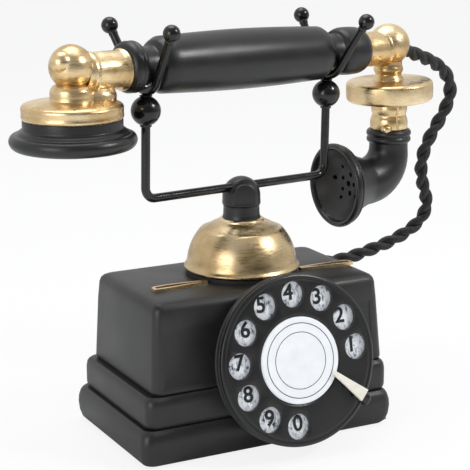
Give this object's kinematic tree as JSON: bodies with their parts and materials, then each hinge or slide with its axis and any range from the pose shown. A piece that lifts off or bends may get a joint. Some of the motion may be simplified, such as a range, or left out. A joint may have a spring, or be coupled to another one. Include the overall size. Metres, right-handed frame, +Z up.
{
  "type": "cradle telephone",
  "caption": "French-style cradle telephone: stepped case with dial and gong, sprung wire cradle with forks, and a handset with ear cup and speaking horn.",
  "frame": {"origin": "on the table, under the cradle post, at the middle of the felt under the case", "axes": "+Z up, along the cradle post; +X to the right as the user faces the dial; the dial faces -Y"},
  "size_m": [0.2555, 0.1253, 0.1898],
  "materials": {
    "case_black": "satin",
    "turned_black": "satin",
    "gloss_black": "gloss",
    "brass": "satin, hand-worn",
    "steel": "plain",
    "felt": "felt",
    "winding": "varnished",
    "insulator": "moulded",
    "number_white": "enamel",
    "label_white": "card",
    "ivory": "moulded",
    "cord_black": "braided",
    "rubber_black": "plain"
  },
  "bodies": {
    "base": {"housing": "case_black", "base_plate": "steel", "base_felt": "felt", "base_screws": "steel", "top_trim": "brass", "gong_seat": "rubber_black", "gong_spacer": "steel", "gong": "brass", "gong_nut": "brass", "post_tube": "gloss_black", "post_nut": "steel", "hook_spring": "steel", "switch_bracket": "steel", "switch_leaves": "brass", "ringer_yoke": "steel", "ringer_coils": "winding", "armature_pin": "steel", "induction_coil": "winding", "condenser": "steel", "terminal_block": "insulator", "terminal_screws": "brass", "dial_mount": "case_black", "dial_case": "turned_black", "number_plate": "number_white", "finger_stop": "ivory", "dial_spring": "steel", "pulse_contacts": "brass", "cord_gland": "rubber_black", "line_grommet": "rubber_black"},
    "ringer_armature": {"clapper": "steel"},
    "dial": {"finger_wheel": "turned_black", "dial_label": "label_white", "dial_shaft": "steel", "pulse_cam": "insulator"},
    "cradle": {"hook_plunger": "steel", "post_head": "gloss_black", "cradle_wire": "gloss_black", "ball_left": "gloss_black", "ball_right": "gloss_black", "fork_left": "gloss_black", "fork_right": "gloss_black", "fork_tips": "gloss_black"},
    "handset": {"grip": "turned_black", "ear_sleeve": "brass", "ear_elbow": "brass", "receiver_shell": "brass", "receiver_band": "turned_black", "receiver_unit": "steel", "ear_cap": "turned_black", "mouth_sleeve": "brass", "mouth_elbow": "brass", "transmitter_case": "brass", "transmitter_unit": "steel", "horn_stem": "brass", "horn_collar": "turned_black", "horn": "turned_black", "mouth_grille": "turned_black", "handset_gland": "rubber_black", "handset_cord": "cord_black"}
  },
  "joints": [
    {"name": "handset_lift", "type": "slide", "parent": "base", "child": "handset", "axis": [0, 0, 1], "range_m": [0, 0.045]},
    {"name": "hook", "type": "slide", "parent": "base", "child": "cradle", "axis": [0, 0, 1], "range_m": [0, 0.004], "deforming": ["hook_spring"]},
    {"name": "dial_turn", "type": "hinge", "parent": "base", "child": "dial", "pos_m": [0, -0.0545, 0.0441], "axis": [0, -0.9789, 0.2045], "range_deg": [-292, 0], "stiffness_Nm_per_rad": 0.004, "springref_deg": 11.46},
    {"name": "clapper_swing", "type": "hinge", "parent": "base", "child": "ringer_armature", "pos_m": [0.0175, 0, 0.045], "axis": [0, 1, 0], "range_deg": [-3.5, 3.5]}
  ],
  "couplings": [
    {"joint": "hook", "follows": "handset_lift", "ratio": 0.088888}
  ]
}
